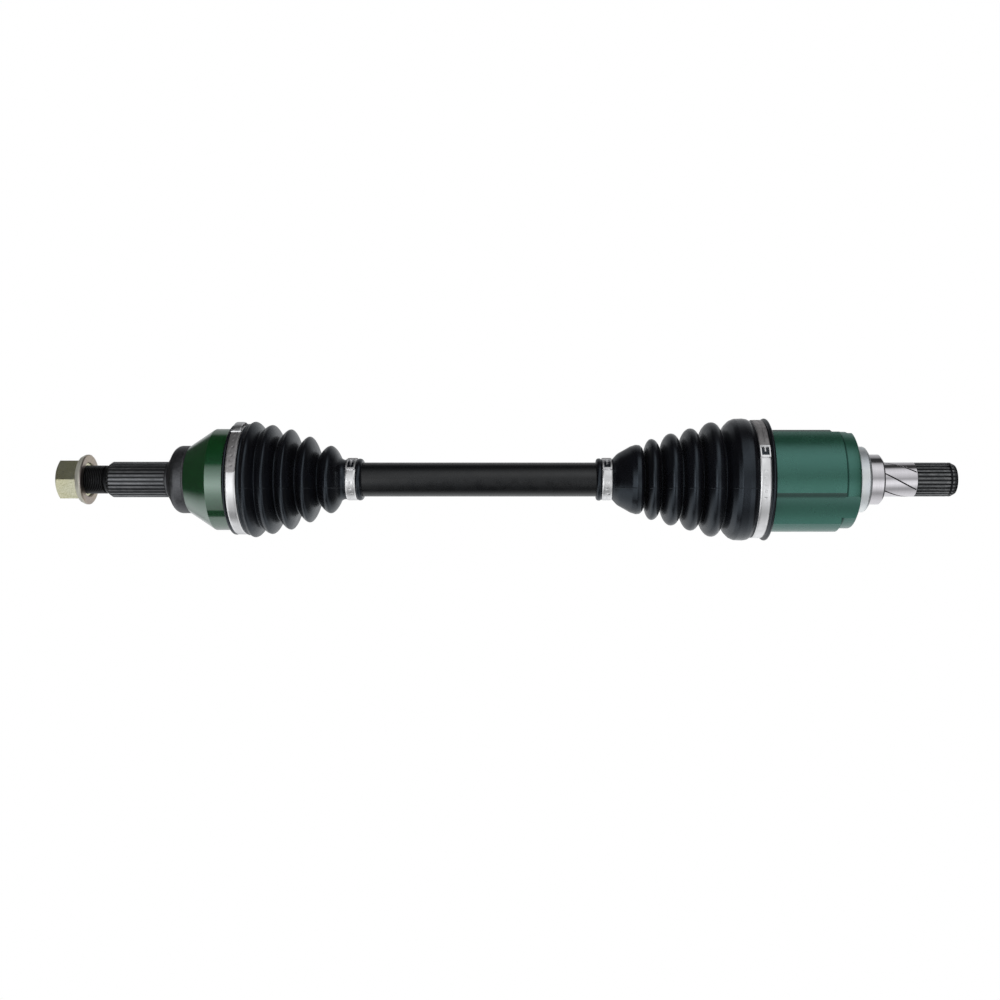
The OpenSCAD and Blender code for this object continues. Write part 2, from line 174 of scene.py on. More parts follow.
class Shells:
    """Collects closed shells of bent strip that wrap the axle, for one mesh object."""

    def __init__(self):
        self.vertices, self.faces, self.index = [], [], []

    def add(self, middle, half_width, high, low, inner, outer, steps, material=0):
        """One strip from elevation high down to low. half_width, inner and outer are functions of (e, u),
        where u goes from -1 to 1 across the strip. steps is (along, across). A full turn closes on itself."""
        along, across = steps
        closed = abs(high - low - 360) < 1e-6
        rows = along if closed else along + 1
        base = len(self.vertices)
        for radius in (outer, inner):
            for i in range(rows):
                e = high + (low - high) * i / along
                for j in range(across + 1):
                    u = -1 + 2 * j / across
                    x = middle + half_width(e, u) * u
                    self.vertices.append(on_axle(x, radius(e, u), e))
        width = across + 1
        inside = rows * width

        def at(i, j, side=0):
            return base + side * inside + (i % rows) * width + j

        for i in range(along):
            for j in range(across):
                self.quad((at(i, j), at(i, j + 1), at(i + 1, j + 1), at(i + 1, j)), material)
                self.quad(
                    (at(i, j, 1), at(i + 1, j, 1), at(i + 1, j + 1, 1), at(i, j + 1, 1)), material
                )
            self.quad((at(i, 0), at(i + 1, 0), at(i + 1, 0, 1), at(i, 0, 1)), material)
            self.quad(
                (at(i, across), at(i, across, 1), at(i + 1, across, 1), at(i + 1, across)), material
            )
        if not closed:
            for j in range(across):
                self.quad((at(0, j), at(0, j, 1), at(0, j + 1, 1), at(0, j + 1)), material)
                self.quad(
                    (at(along, j), at(along, j + 1), at(along, j + 1, 1), at(along, j, 1)), material
                )

    def quad(self, corners, material):
        self.faces.append(corners[::-1])
        self.index.append(material)

    def object(self, name, materials, sharp=40):
        return add_object(name, self.vertices, self.faces, materials, sharp, self.index)


def interpolate(points, x):
    """Radius at x on a polyline of (x, radius)."""
    for (x0, r0), (x1, r1) in zip(points, points[1:]):
        if x0 <= x <= x1:
            return r0 + (r1 - r0) * (x - x0) / (x1 - x0)
    return points[0][1] if x < points[0][0] else points[-1][1]


def rounded(points, step, reach):
    """Polyline resampled at about `step`, each radius averaged over `reach` either side to round corners."""
    start, end = points[0][0], points[-1][0]
    count = round((end - start) / step)
    taps = (-1, -0.5, 0, 0.5, 1)
    result = []
    for i in range(count + 1):
        x = start + (end - start) * i / count
        near = min(reach, x - start, end - x)
        result.append((x, sum(interpolate(points, x + t * near) for t in taps) / len(taps)))
    return result


def fold(left, peak, right, bend, fullness, steps=14):
    """One pleat from a valley up over its peak and down, each an (x, radius).
    A larger bend rounds the crown and a smaller fullness fattens the whole pleat."""
    points = []
    for i in range(-steps, steps):
        t = i / steps
        foot = left if t < 0 else right
        x = peak[0] + abs(t) * (foot[0] - peak[0])
        share = (1 - abs(t) ** bend) ** fullness
        points.append((x, foot[1] + (peak[1] - foot[1]) * share))
    return points


def pleats(points, bend, fullness):
    """Pleats through alternating valleys and peaks that start and end with a valley."""
    line = []
    for i in range(0, len(points) - 2, 2):
        line += fold(points[i], points[i + 1], points[i + 2], bend, fullness)
    return line + [points[-1]]


# ---------- materials ----------


class Finish:
    """Node material with a Principled shader. Textures are laid in object space, so grain has a real size."""

    def __init__(self, name, colour, metallic=0.0, roughness=0.5):
        self.material = bpy.data.materials.new(name)
        self.material.use_nodes = True
        self.tree = self.material.node_tree
        self.tree.nodes.clear()
        self.output = self.node("ShaderNodeOutputMaterial")
        self.shader = self.node("ShaderNodeBsdfPrincipled")
        self.link(self.shader.outputs[0], self.output.inputs[0])
        self.place = self.node("ShaderNodeTexCoord").outputs["Object"]
        self.set("Base Color", (*colour, 1))
        self.set("Metallic", metallic)
        self.set("Roughness", roughness)
        self.bumps = None

    def node(self, kind, **values):
        made = self.tree.nodes.new(kind)
        for key, value in values.items():
            setattr(made, key, value)
        return made

    def link(self, source, target):
        self.tree.links.new(source, target)

    def put(self, target, value):
        """Links a socket, or sets a plain value."""
        if isinstance(value, bpy.types.NodeSocket):
            self.link(value, target)
        else:
            target.default_value = value

    def set(self, name, value):
        self.put(self.shader.inputs[name], value)

    def maths(self, operation, a, b=0.0):
        made = self.node("ShaderNodeMath", operation=operation)
        self.put(made.inputs[0], a)
        self.put(made.inputs[1], b)
        return made.outputs[0]

    def times(self, first, *others):
        """Product of sockets or numbers."""
        for other in others:
            first = self.maths("MULTIPLY", first, other)
        return first

    def noise(self, scale, stretch=(1, 1, 1), detail=3.0, rough=0.55):
        """Noise from 0 to 1. scale is in cells a metre; stretch multiplies it along each axis."""
        mapping = self.node("ShaderNodeMapping")
        self.link(self.place, mapping.inputs["Vector"])
        mapping.inputs["Scale"].default_value = stretch
        made = self.node("ShaderNodeTexNoise")
        self.link(mapping.outputs[0], made.inputs["Vector"])
        made.inputs["Scale"].default_value = scale
        made.inputs["Detail"].default_value = detail
        made.inputs["Roughness"].default_value = rough
        return made.outputs["Fac"]

    def ramp(self, value, low, high, to_low=0.0, to_high=1.0):
        """Maps low..high of a value to to_low..to_high along a soft S curve, clamped."""
        made = self.node("ShaderNodeMapRange", clamp=True, interpolation_type="SMOOTHSTEP")
        self.put(made.inputs["Value"], value)
        for name, number in (
            ("From Min", low),
            ("From Max", high),
            ("To Min", to_low),
            ("To Max", to_high),
        ):
            made.inputs[name].default_value = number
        return made.outputs["Result"]

    def mix(self, factor, a, b):
        """Colour a at factor 0 and b at 1."""
        made = self.node("ShaderNodeMix", data_type="RGBA")
        self.put(made.inputs[0], factor)
        self.put(made.inputs[6], (*a, 1) if isinstance(a, tuple) else a)
        self.put(made.inputs[7], (*b, 1) if isinstance(b, tuple) else b)
        return made.outputs[2]

    def blend_number(self, factor, a, b):
        """Number a at factor 0 and b at 1."""
        made = self.node("ShaderNodeMix", data_type="FLOAT")
        self.put(made.inputs[0], factor)
        self.put(made.inputs[2], a)
        self.put(made.inputs[3], b)
        return made.outputs[0]

    def bump(self, height, depth, strength=1.0):
        """Adds a bump of `depth` metres under what is there already."""
        made = self.node("ShaderNodeBump")
        made.inputs["Distance"].default_value = depth
        self.put(made.inputs["Strength"], strength)
        self.put(made.inputs["Height"], height)
        if self.bumps is not None:
            self.link(self.bumps, made.inputs["Normal"])
        self.bumps = made.outputs["Normal"]
        self.set("Normal", self.bumps)

    def soft_edges(self, radius):
        """Catches light along edges, as worn corners do."""
        made = self.node("ShaderNodeBevel", samples=4)
        made.inputs["Radius"].default_value = radius
        self.bumps = made.outputs["Normal"]
        self.set("Normal", self.bumps)

    def wear(self, amount=1.0):
        """1 on raised edges, broken up by noise."""
        geometry = self.node("ShaderNodeNewGeometry")
        edge = self.ramp(geometry.outputs["Pointiness"], 0.53, 0.6)
        return self.times(edge, self.ramp(self.noise(260), 0.35, 0.7, 0, amount))

    def axis(self, name):
        """One of the object-space coordinates."""
        split = self.node("ShaderNodeSeparateXYZ")
        self.link(self.place, split.inputs[0])
        return split.outputs[name]

    def radius(self):
        """Distance from the axle's centre line."""
        y, z = (self.maths("POWER", self.axis(a), 2.0) for a in "YZ")
        return self.maths("SQRT", self.maths("ADD", y, z))

    def hollow(self):
        """1 in pressed hollows and inside corners: the mask by which the clamps' colours paint shade or a
        highlight into their dents.
        """
        geometry = self.node("ShaderNodeNewGeometry")
        return self.ramp(geometry.outputs["Pointiness"], 0.42, 0.485, 1.0, 0.0)

    def beyond(self, x, ragged=0.2 * MM):
        """0 below an X, 1 above it, with an edge as ragged as sprayed paint or a dip line."""
        wobble = self.maths("MULTIPLY_ADD", self.noise(350), ragged)
        wobble.node.inputs[2].default_value = -ragged / 2
        moved = self.maths("ADD", self.axis("X"), wobble)
        return self.ramp(moved, x - 0.08 * MM, x + 0.08 * MM)


def turned_lines(finish, scale=1.0):
    """Fine rings left by a lathe or grinder: noise that runs fast along X only."""
    return finish.noise(60, (70 * scale, 1, 1), 4.0, 0.7)


def rubber():
    """Moulded boot rubber: near black, faint bloom, fine grain and a parting line on each side."""
    f = Finish("boot_rubber", (0.008, 0.009, 0.011), 0.0, 0.45)
    bloom = f.noise(28, detail=5.0)
    f.set("Base Color", f.mix(f.ramp(bloom, 0.35, 0.7), (0.0058, 0.0048, 0.0068), (0.0095, 0.0092, 0.0130)))
    smear = f.noise(55, (0.6, 1, 1), 4.0)
    f.set("Roughness", f.ramp(smear, 0.3, 0.7, 0.24, 0.34))
    f.set("Specular IOR Level", 0.6)
    f.set("Specular Tint", (0.72, 0.86, 1.0, 1))
    f.bump(f.noise(2600, detail=2.0), 0.03 * MM, 0.6)
    f.bump(f.noise(240, detail=3.0), 0.1 * MM, 0.5)
    parting_height = -7 * MM
    off_parting = f.maths("ABSOLUTE", f.maths("SUBTRACT", f.axis("Z"), parting_height))
    f.bump(f.ramp(off_parting, 0.0, 0.3 * MM, 1.0, 0.0), 0.25 * MM, 0.8)
    specks = f.ramp(f.noise(1500, detail=1.0), 0.80, 0.83)
    f.set("Sheen Weight", 0.03)
    f.set("Sheen Roughness", 0.4)
    f.set("Coat Weight", f.times(specks, 0.3))
    return f.material


def clamp_steel():
    """Stainless band, brushed along its length, with scuffs, and painted shade in its dents and inside corners."""
    f = Finish("clamp_steel", (0.8, 0.79, 0.78), 1.0, 0.3)
    lines = f.noise(60, (60, 1.5, 1.5), 4.0, 0.7)
    cloud = f.noise(90, detail=4.0)
    bright = f.mix(f.ramp(cloud, 0.35, 0.7), (0.95, 0.945, 0.95), (0.86, 0.855, 0.86))
    # Painted shade: the colour goes near black in the dents and inside corners.
    f.set("Base Color", f.mix(f.times(f.hollow(), 0.8), bright, (0.10, 0.10, 0.105)))
    f.soft_edges(0.18 * MM)
    f.set("Roughness", f.maths("ADD", f.ramp(lines, 0.3, 0.7, 0.3, 0.38), f.ramp(cloud, 0.4, 0.8, 0, 0.08)))
    f.bump(lines, 0.006 * MM, 0.5)
    f.bump(f.noise(800), 0.01 * MM, 0.25)
    return f.material


def tail_steel():
    """The clamp's overlapping tail: the same band, greyer and matt from handling, with a painted highlight in its
    dents.
    """
    f = Finish("clamp_steel_tail", (0.36, 0.35, 0.34), 1.0, 0.4)
    lines = f.noise(60, (60, 1.5, 1.5), 4.0, 0.7)
    cloud = f.noise(300, detail=5.0)
    grey = f.mix(f.ramp(cloud, 0.35, 0.7), (0.60, 0.58, 0.58), (0.46, 0.44, 0.44))
    # Painted highlight: the colour goes near white in the dents and inside corners.
    f.set("Base Color", f.mix(f.times(f.hollow(), 0.8), grey, (0.85, 0.85, 0.86)))
    f.soft_edges(0.15 * MM)
    f.set("Roughness", f.ramp(lines, 0.3, 0.7, 0.48, 0.6))
    f.bump(lines, 0.015 * MM, 0.5)
    f.bump(f.noise(900), 0.02 * MM, 0.35)
    return f.material


def shaded_teeth(f, root, tip, dark, dull, bright):
    """Colour of a toothed surface: painted shade between the teeth, and streaked along them on top."""
    streak = f.mix(f.ramp(f.noise(300, (0.1, 1, 1), 3.0), 0.3, 0.7), dull, bright)
    # Painted shade: dark at the roots, lighter towards the tips.
    return f.mix(f.ramp(f.radius(), root, tip), dark, streak)


def phosphate_colour(f, mottling):
    """Stub of the bell forging: mottled collar, streaked spline teeth, dark thread and bare edges, with painted
    shade between the teeth and in the thread's grooves.
    """
    colour = f.mix(f.ramp(mottling, 0.35, 0.7), (0.10, 0.102, 0.108), (0.15, 0.152, 0.16))
    teeth = shaded_teeth(f, 13.75 * MM, 14.9 * MM, (0.04, 0.041, 0.044), (0.15, 0.153, 0.16), (0.23, 0.235, 0.245))
    on_spline = f.ramp(f.axis("X"), HUB_SPLINE_END - 0.2 * MM, HUB_SPLINE_END, 1.0, 0.0)
    colour = f.mix(on_spline, colour, teeth)
    # Painted shade: the thread goes near black towards the roots of its grooves.
    groove_shade = f.ramp(f.radius(), 11.3 * MM, 12.0 * MM)
    thread = f.mix(groove_shade, (0.012, 0.012, 0.013), (0.06, 0.06, 0.063))
    on_thread = f.ramp(f.axis("X"), THREAD_END - 0.9 * MM, THREAD_END + 0.9 * MM, 1.0, 0.0)
    colour = f.mix(on_thread, colour, thread)
    return f.mix(f.wear(0.5), colour, (0.36, 0.36, 0.37))


def green_gloss_and_phosphate():
    """Bell forging: dark phosphate on the stub and collar, glossy dark green enamel on the bell."""
    f = Finish("outer_painted_steel", (0.007, 0.053, 0.013), 0.0, 0.4)
    painted = f.beyond(BELL_PAINT_START)
    mottling = f.noise(420, detail=6.0, rough=0.7)
    cloud = f.noise(60, detail=3.0)
    enamel = f.mix(f.ramp(cloud, 0.35, 0.7), (0.0045, 0.088, 0.012), (0.006, 0.100, 0.016))
    f.set("Base Color", f.mix(painted, phosphate_colour(f, mottling), enamel))
    f.set("Metallic", f.blend_number(painted, 0.8, 0.0))
    f.set("Specular Tint", f.mix(painted, (1.0, 1.0, 1.0), (0.3, 1.0, 0.68)))
    f.set("Specular IOR Level", f.blend_number(painted, 0.5, 0.9))
    f.soft_edges(0.22 * MM)
    dull = f.ramp(mottling, 0.3, 0.75, 0.36, 0.48)
    f.set("Roughness", f.blend_number(painted, dull, 0.3))
    f.set("Coat Weight", painted)
    f.set("Coat Roughness", f.ramp(cloud, 0.3, 0.7, 0.035, 0.07))
    f.set("Coat IOR", 2.2)
    bare = f.maths("SUBTRACT", 1.0, painted)
    f.bump(mottling, 0.01 * MM, f.times(bare, 0.2))
    f.bump(f.noise(330, detail=1.0), 0.05 * MM, f.times(painted, 0.22))
    return f.material


def housing_crease_shade(f):
    """Mask of painted shade on the tulip: 1 on the upper wall of each valley and at the foot of the step on the
    lobes.
    """
    radius, x = f.radius(), f.axis("X")
    wall = f.times(
        f.ramp(radius, 40.2 * MM, 42.0 * MM),
        f.ramp(radius, 44.2 * MM, 44.4 * MM, 1.0, 0.0),
        f.ramp(x, LOBE_STEP - 0.1 * MM, LOBE_STEP + 0.1 * MM, 1.0, 0.0),
        f.ramp(f.axis("Z"), -25 * MM, -20 * MM),
    )
    foot = f.times(
        f.ramp(x, LOBE_STEP - 0.1 * MM, LOBE_STEP),
        f.ramp(radius, 41.4 * MM, 41.5 * MM),
        f.ramp(x, LOBE_STEP + 1.7 * MM, LOBE_STEP + 2.6 * MM, 1.0, 0.0),
    )
    return f.times(f.maths("MAXIMUM", wall, foot), 0.85)


def journal_painted_shade(f):
    """Mask of painted shade on the journal: 1 in its oil grooves and in a ring at its shoulder, where no groove is
    cut.
    """
    x = f.axis("X")
    on_journal = f.ramp(x, JOURNAL_START - 0.1 * MM, JOURNAL_START + 0.1 * MM)
    groove_shade = f.times(on_journal, f.ramp(f.radius(), 14.42 * MM, 14.56 * MM, 1.0, 0.0))
    # Painted shade: a dark ring at the shoulder.
    shoulder_shade = f.times(on_journal, f.ramp(x, JOURNAL_START + 1.1 * MM, JOURNAL_START + 1.3 * MM, 1.0, 0.0))
    return f.maths("MAXIMUM", groove_shade, shoulder_shade)


def teal_satin_and_ground_steel():
    """Tulip forging: satin green paint, ground seal land and journal, dark spline, with painted shade in the
    paint's creases, the journal's oil grooves and a ring at its shoulder.
    """
    f = Finish("inner_painted_steel", (0.021, 0.127, 0.070), 0.0, 0.38)
    bare = f.beyond(HOUSING_PAINT_END)
    spline = f.beyond(JOURNAL_END, 0.4 * MM)
    cloud = f.noise(45, detail=4.0)
    grit = f.noise(1500, detail=4.0, rough=0.65)
    crease_shade, sunk_shade = housing_crease_shade(f), journal_painted_shade(f)
    paint = f.mix(f.ramp(cloud, 0.35, 0.7), (0.026, 0.122, 0.070), (0.031, 0.138, 0.082))
    paint = f.mix(f.ramp(grit, 0.62, 0.8, 0, 0.6), paint, (0.05, 0.19, 0.13))
    # Painted shade: the paint goes dark along the valley walls and at the foot of the lobe step.
    paint = f.mix(crease_shade, paint, (0.006, 0.045, 0.03))
    lines = turned_lines(f)
    steel = f.mix(f.ramp(lines, 0.3, 0.75), (0.70, 0.675, 0.70), (0.60, 0.58, 0.60))
    # Painted shade: the steel goes near black in the oil grooves and the ring at the shoulder.
    steel = f.mix(sunk_shade, steel, (0.035, 0.034, 0.034))
    # Painted shade between the teeth of the inboard spline.
    oxide = shaded_teeth(f, 12.9 * MM, 14.1 * MM, (0.022, 0.022, 0.024), (0.12, 0.125, 0.13), (0.19, 0.195, 0.20))
    oxide = f.mix(f.wear(0.5), oxide, (0.42, 0.42, 0.42))
    f.set("Base Color", f.mix(spline, f.mix(bare, paint, steel), oxide))
    f.set("Metallic", f.blend_number(bare, 0.0, f.blend_number(spline, 1.0, 0.6)))
    f.set("Specular Tint", f.mix(bare, (0.45, 1.0, 0.92), (1.0, 1.0, 1.0)))
    # Painted shade: a lower IOR dims the paint's reflection in the same places.
    f.set("IOR", f.blend_number(bare, f.blend_number(crease_shade, 2.1, 1.4), 1.5))
    f.soft_edges(0.2 * MM)
    rough_steel = f.maths("ADD", f.ramp(lines, 0.3, 0.7, 0.09, 0.14), f.times(sunk_shade, 0.3))
    rough_paint = f.ramp(cloud, 0.3, 0.7, 0.24, 0.31)
    f.set("Roughness", f.blend_number(spline, f.blend_number(bare, rough_paint, rough_steel), 0.42))
    f.bump(grit, 0.05 * MM, f.blend_number(bare, 0.42, 0.0))
    f.bump(lines, 0.005 * MM, f.blend_number(bare, 0.0, 0.5))
    return f.material


def yellow_zinc():
    """Nut plating: pale gold with an olive speckle and faint rainbow drift."""
    f = Finish("yellow_zinc", (0.62, 0.56, 0.26), 1.0, 0.3)
    speckle = f.noise(1500, detail=5.0, rough=0.75)
    drift = f.noise(70, detail=3.0)
    gold = f.mix(f.ramp(drift, 0.35, 0.65), (0.98, 0.96, 0.76), (0.96, 0.92, 0.68))
    f.set("Base Color", f.mix(f.ramp(speckle, 0.42, 0.66), gold, (0.52, 0.52, 0.25)))
    f.soft_edges(0.3 * MM)
    f.set("Roughness", f.ramp(speckle, 0.3, 0.7, 0.24, 0.44))
    f.bump(speckle, 0.05 * MM, 0.7)
    return f.material


def washer_zinc():
    """Washer plating: pinkish grey on the face, and a painted highlight of bright cream on the rim towards the
    nut.
    """
    f = Finish("clear_zinc_washer", (0.50, 0.42, 0.38), 1.0, 0.36)
    speckle = f.noise(1300, detail=5.0, rough=0.7)
    drift = f.noise(60, detail=3.0)
    rosy = f.mix(f.ramp(drift, 0.35, 0.65), (0.50, 0.43, 0.40), (0.56, 0.48, 0.38))
    rosy = f.mix(f.ramp(speckle, 0.45, 0.7, 0, 0.7), rosy, (0.34, 0.29, 0.27))
    face = ends("hub_nut_washer")[1]
    # Painted highlight: the rim is coloured bright cream and made less metallic.
    rim = f.ramp(f.axis("X"), face - 1.4 * MM, face - 0.6 * MM, 1.0, 0.0)
    f.set("Base Color", f.mix(rim, rosy, (0.96, 0.93, 0.80)))
    f.set("Metallic", f.blend_number(rim, 1.0, 0.25))
    f.soft_edges(0.2 * MM)
    f.set("Roughness", f.ramp(speckle, 0.3, 0.7, 0.32, 0.48))
    f.bump(speckle, 0.03 * MM, 0.5)
    return f.material


def shield_zinc():
    """Pressed dust shield: bright zinc with a blue cast."""
    f = Finish("clear_zinc", (0.72, 0.80, 0.86), 1.0, 0.24)
    drift = f.noise(80, detail=4.0)
    f.set("Base Color", f.mix(f.ramp(drift, 0.35, 0.65), (0.97, 1.0, 1.0), (0.93, 0.97, 1.0)))
    f.soft_edges(0.2 * MM)
    f.set("Roughness", f.ramp(drift, 0.3, 0.7, 0.44, 0.52))
    f.bump(turned_lines(f), 0.002 * MM, 0.5)
    return f.material


def shaft_paint():
    """Satin black paint over a drawn bar, with a faint lengthwise streak."""
    f = Finish("black_shaft_paint", (0.009, 0.010, 0.012), 0.0, 0.32)
    streak = f.noise(60, (0.15, 6, 6), 4.0)
    f.set("Base Color", f.mix(f.ramp(streak, 0.3, 0.7), (0.003, 0.0036, 0.0050), (0.006, 0.0075, 0.0100)))
    f.set("Roughness", f.ramp(f.noise(140, detail=4.0), 0.3, 0.7, 0.24, 0.32))
    f.set("Coat Weight", 0.25)
    f.set("Coat Roughness", 0.2)
    f.bump(f.noise(1100, detail=3.0), 0.03 * MM, 0.3)
    f.bump(f.noise(90, (0.4, 1, 1), 2.0), 0.2 * MM, 0.15)
    return f.material


def steel(name, colour, roughness, lay=1.0, edge=0.15 * MM):
    """Plain machined steel in a few tones."""
    f = Finish(name, colour, 1.0, roughness)
    lines = turned_lines(f, lay)
    darker = tuple(0.72 * c for c in colour)
    f.set("Base Color", f.mix(f.ramp(f.noise(200, detail=4.0), 0.35, 0.7), colour, darker))
    f.soft_edges(edge)
    f.set("Roughness", f.ramp(lines, 0.3, 0.7, roughness * 0.8, roughness * 1.3))
    f.bump(lines, 0.01 * MM, 0.5)
    return f.material


MATERIALS = {
    "outer_painted_steel": green_gloss_and_phosphate(),
    "inner_painted_steel": teal_satin_and_ground_steel(),
    "yellow_zinc": yellow_zinc(),
    "clear_zinc": shield_zinc(),
    "black_shaft_paint": shaft_paint(),
    "boot_rubber": rubber(),
    "clamp_steel": clamp_steel(),
    "bearing_steel": steel("bearing_steel", (0.66, 0.66, 0.67), 0.1),
    "ground_steel": steel("ground_steel", (0.5, 0.5, 0.51), 0.28),
    "spring_steel": steel("spring_steel", (0.022, 0.022, 0.024), 0.4, 0.4),
}
WASHER_MATERIAL = washer_zinc()
TAIL_MATERIAL = tail_steel()


# ---------- CAD nodes that stay ----------


def smoothing_group(angle):
    """Geometry nodes that join a CAD node's faces at shared edges and shade them smooth up to an angle."""
    group = bpy.data.node_groups.new("join_and_smooth", "GeometryNodeTree")
    group.interface.new_socket("Geometry", in_out="INPUT", socket_type="NodeSocketGeometry")
    group.interface.new_socket("Geometry", in_out="OUTPUT", socket_type="NodeSocketGeometry")
    new, link = group.nodes.new, group.links.new
    start, end = new("NodeGroupInput"), new("NodeGroupOutput")
    weld = new("GeometryNodeMergeByDistance")
    weld.inputs["Distance"].default_value = 2e-6
    faces, edges = new("GeometryNodeSetShadeSmooth"), new("GeometryNodeSetShadeSmooth")
    faces.domain, edges.domain = "FACE", "EDGE"
    faces.inputs["Shade Smooth"].default_value = True
    edges.inputs["Shade Smooth"].default_value = False
    bend = new("GeometryNodeInputMeshEdgeAngle")
    steep = new("FunctionNodeCompare")
    steep.operation = "GREATER_THAN"
    steep.inputs[1].default_value = math.radians(angle)
    link(start.outputs[0], weld.inputs[0])
    link(weld.outputs[0], faces.inputs[0])
    link(faces.outputs[0], edges.inputs[0])
    link(bend.outputs[0], steep.inputs[0])
    link(steep.outputs[0], edges.inputs["Selection"])
    link(edges.outputs[0], end.inputs[0])
    return group


SMOOTHING = smoothing_group(22)


def dress(obj, material):
    """Gives a CAD node its material and smooth shading."""
    mesh = obj.data
    if "custom_normal" in mesh.attributes:
        mesh.attributes.remove(mesh.attributes["custom_normal"])
    mesh.shade_smooth()
    mesh.materials.clear()
    mesh.materials.append(material)
    modifier = obj.modifiers.new("join_and_smooth", "NODES")
    modifier.node_group = SMOOTHING


for row in frame["record"]["subparts"]:
    dress(frame["nodes"][row["node"]], MATERIALS[row["material_slot"]])
washer = frame["nodes"]["hub_nut_washer"]
washer.data.materials[0] = WASHER_MATERIAL


# ---------- boots ----------

BOOT_WALL = 2.2 * MM


def slope_normals(line, outward):
    """(x, radial) unit normals of a polyline of (x, radius)."""
    result = []
    for i in range(len(line)):
        before, after = line[max(i - 1, 0)], line[min(i + 1, len(line) - 1)]
        along, rise = after[0] - before[0], after[1] - before[1]
        length = math.hypot(along, rise)
        result.append((-outward * rise / length, outward * along / length))
    return result


def stretch(line, normals, start, end):
    """The part of a polyline between two of its own X values, with its normals."""
    edge = 1e-7
    kept = [(p, n) for p, n in zip(line, normals) if start - edge < p[0] < end + edge]
    return [p for p, n in kept], [n for p, n in kept]


def with_points(line, xs):
    """Adds a point to a polyline at each X where it has none."""
    missing = [(x, interpolate(line, x)) for x in xs if all(abs(x - p[0]) > 1e-7 for p in line)]
    return sorted(line + missing)


def boot_part(name, outer, inner, start, end):
    """The stretch of a boot between two X planes, as a closed solid with as many points inside as outside."""
    out, out_normals = stretch(outer, slope_normals(outer, 1), start, end)
    back, back_normals = stretch(inner, slope_normals(inner, -1), start, end)
    outline, normals = out + back[::-1], out_normals + back_normals[::-1]
    return lathe(name, outline, normals, MATERIALS["boot_rubber"])


def bending_boot(node, outer, inner, stages):
    """Cuts a boot where the bodies it follows change, into one stretch for each stage.
    A stage is (body, X where it lets go, next body, X where that one holds), in order along the boot."""
    low, high = outer[0][0], outer[-1][0]
    first, last = (low, high) if stages[0][1] < stages[-1][1] else (high, low)
    cuts = [first] + [s[3] for s in stages[:-1]] + [last]
    outer = with_points(outer, cuts)
    inner = with_points([(x, interpolate(inner, x)) for x, r in outer], cuts)
    for k, (a, x_a, b, x_b) in enumerate(stages):
        near, far = sorted(cuts[k : k + 2])
        part = boot_part(f"{node}_skin_{k + 1}", outer, inner, near, far)
        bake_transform(part)
        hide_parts(node)


def millimetres(points):
    """A polyline given in millimetres, in metres."""
    return [(x * MM, r * MM) for x, r in points]


def inside(folds):
    """Pleats of the bore that run one wall under the pleats outside, in millimetres."""
    return [(x, r - BOOT_WALL / MM) for x, r in folds]


def outer_boot():
    """Boot of the ball joint: flat lip, clamp seat, a double bead, then five pleats down to a small neck."""
    lip = [(-547.8, 43.6), (-547.7, 45.2), (-547.3, 46.5), (-546.4, 47.0), (-545.3, 46.9), (-544.8, 45.8)]
    seat = [(-544.7, 45.7), (-536.3, 45.7)]
    beads = [(-536.0, 46.2), (-535.5, 47.2), (-534.7, 47.5), (-533.9, 47.0), (-533.4, 46.6)]
    folds = [
        (-533.2, 46.9),
        (-529.8, 49.2),
        (-522.6, 41.2),
        (-515.4, 46.4),
        (-507.9, 34.4),
        (-499.7, 42.7),
        (-492.4, 27.4),
        (-483.9, 36.6),
        (-475.2, 20.4),
        (-466.1, 28.8),
        (-458.0, 19.4),
    ]
    neck = [(-457.2, 18.2), (-456.0, 17.3), (-454.4, 16.8), (-443.3, 16.8), (-442.9, 17.7), (-441.2, 17.9),
            (-439.3, 17.2), (-438.8, 16.2)]
    outside_line = lip + seat + beads + pleats(folds, 1.75, 0.92) + neck
    mouth = [(-547.8, 42.6), (-534.0, 42.6), (-531.0, 44.5)]
    throat = [(-456.5, 14.6), (-438.8, 14.6)]
    inside_line = mouth + pleats(inside(folds[2:-1]), 1.75, 0.95) + throat
    outer = rounded(millimetres(outside_line), 0.5 * MM, 0.45 * MM)
    inner = rounded(millimetres(inside_line), 0.5 * MM, 0.8 * MM)
    bending_boot(
        "outer_boot",
        outer,
        inner,
        [
            ("outer_race_body", -0.534, "ball_1_body", -0.519),
            ("ball_1_body", -0.519, "cage_body", -0.5115),
            ("cage_body", -0.5115, "ball_4_body", -0.504),
            ("ball_4_body", -0.504, "shaft_body", -0.477),
        ],
    )


